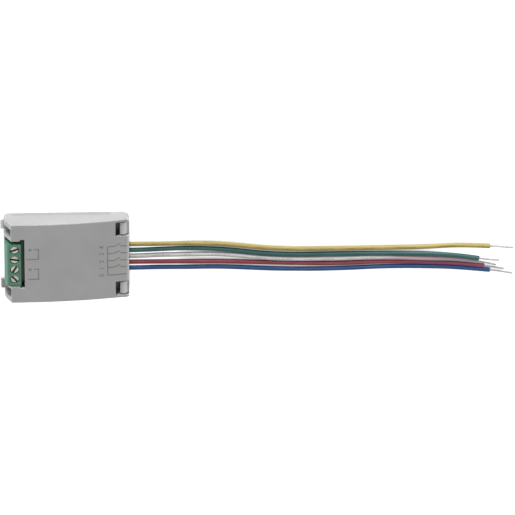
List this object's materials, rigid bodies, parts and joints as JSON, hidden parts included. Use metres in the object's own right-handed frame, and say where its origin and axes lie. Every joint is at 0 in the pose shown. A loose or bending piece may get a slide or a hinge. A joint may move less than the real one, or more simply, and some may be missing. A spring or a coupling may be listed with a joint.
{
  "type": "push-button interface module",
  "caption": "Flat plastic box with a curved label face, a green screw terminal at one end and a row of free coloured leads with stripped ends at the other",
  "frame": {"origin": "middle of the underside of the case, measured over its end lugs, on the surface it lies on", "axes": "+X from the screw terminal to the leads, along the longest side; +Z out of the label face"},
  "size_m": [0.1747, 0.0308, 0.008],
  "materials": {
    "housing_plastic": "fine satin moulded polycarbonate blend",
    "tray_plastic": "fine satin moulded polycarbonate blend",
    "terminal_plastic": "satin polyamide",
    "plated_steel": "nickel plated steel",
    "plated_copper": "tinned copper alloy",
    "board_laminate": "black solder mask on glass epoxy",
    "solder": "bright solder",
    "moulding_compound": "black epoxy moulding",
    "tantalum_case": "orange epoxy moulding",
    "crystal_case": "nickel lid",
    "ferrite": "ferrite",
    "ceramic": "chip ceramic",
    "tinned_strands": "tinned copper strands",
    "yellow_sheath": "soft insulation",
    "green_sheath": "soft insulation",
    "white_sheath": "soft insulation",
    "red_sheath": "soft insulation",
    "blue_sheath": "soft insulation"
  },
  "bodies": {
    "module": {"top_cover": "housing_plastic", "base_tray": "tray_plastic", "circuit_board": "board_laminate", "terminal_body": "terminal_plastic", "conductor_tails": "tinned_strands", "solder_joints": "solder", "microcontroller": "moulding_compound", "bus_transceiver": "moulding_compound", "bridge_rectifier": "moulding_compound", "voltage_regulator": "moulding_compound", "buffer_capacitor": "tantalum_case", "quartz_crystal": "crystal_case", "choke": "ferrite", "chip_resistors": "ceramic", "chip_capacitors": "ceramic", "protection_diodes": "moulding_compound", "transistors": "moulding_compound", "component_legs": "plated_copper", "chip_end_caps": "solder", "terminal_contact_1": "plated_copper", "terminal_contact_2": "plated_copper", "terminal_contact_3": "plated_copper", "terminal_contact_4": "plated_copper", "wire_root_yellow": "yellow_sheath", "wire_yellow": "yellow_sheath", "bare_end_yellow": "tinned_strands", "wire_root_green": "green_sheath", "wire_green": "green_sheath", "bare_end_green": "tinned_strands", "wire_root_white": "white_sheath", "wire_white": "white_sheath", "bare_end_white": "tinned_strands", "wire_root_red": "red_sheath", "wire_red": "red_sheath", "bare_end_red": "tinned_strands", "wire_root_blue": "blue_sheath", "wire_blue": "blue_sheath", "bare_end_blue": "tinned_strands"},
    "screw_1": {"terminal_screw_1": "plated_steel"},
    "cage_1": {"terminal_cage_1": "plated_steel"},
    "screw_2": {"terminal_screw_2": "plated_steel"},
    "cage_2": {"terminal_cage_2": "plated_steel"},
    "screw_3": {"terminal_screw_3": "plated_steel"},
    "cage_3": {"terminal_cage_3": "plated_steel"},
    "screw_4": {"terminal_screw_4": "plated_steel"},
    "cage_4": {"terminal_cage_4": "plated_steel"}
  },
  "joints": [
    {"name": "screw_1_turn", "type": "hinge", "parent": "module", "child": "screw_1", "pos_m": [-0.0171, -0.00626, 0.0073], "axis": [0, 0, 1], "range_deg": [-1080, 0]},
    {"name": "cage_1_rise", "type": "slide", "parent": "module", "child": "cage_1", "axis": [0, 0, 1], "range_m": [0, 0.0012]},
    {"name": "screw_2_turn", "type": "hinge", "parent": "module", "child": "screw_2", "pos_m": [-0.0171, -0.00246, 0.0073], "axis": [0, 0, 1], "range_deg": [-1080, 0]},
    {"name": "cage_2_rise", "type": "slide", "parent": "module", "child": "cage_2", "axis": [0, 0, 1], "range_m": [0, 0.0012]},
    {"name": "screw_3_turn", "type": "hinge", "parent": "module", "child": "screw_3", "pos_m": [-0.0171, 0.00136, 0.0073], "axis": [0, 0, 1], "range_deg": [-1080, 0]},
    {"name": "cage_3_rise", "type": "slide", "parent": "module", "child": "cage_3", "axis": [0, 0, 1], "range_m": [0, 0.0012]},
    {"name": "screw_4_turn", "type": "hinge", "parent": "module", "child": "screw_4", "pos_m": [-0.0171, 0.00517, 0.0073], "axis": [0, 0, 1], "range_deg": [-1080, 0]},
    {"name": "cage_4_rise", "type": "slide", "parent": "module", "child": "cage_4", "axis": [0, 0, 1], "range_m": [0, 0.0012]}
  ],
  "couplings": [
    {"joint": "screw_1_turn", "follows": "cage_1_rise", "rad_per_m": -15708},
    {"joint": "screw_2_turn", "follows": "cage_2_rise", "rad_per_m": -15708},
    {"joint": "screw_3_turn", "follows": "cage_3_rise", "rad_per_m": -15708},
    {"joint": "screw_4_turn", "follows": "cage_4_rise", "rad_per_m": -15708}
  ]
}
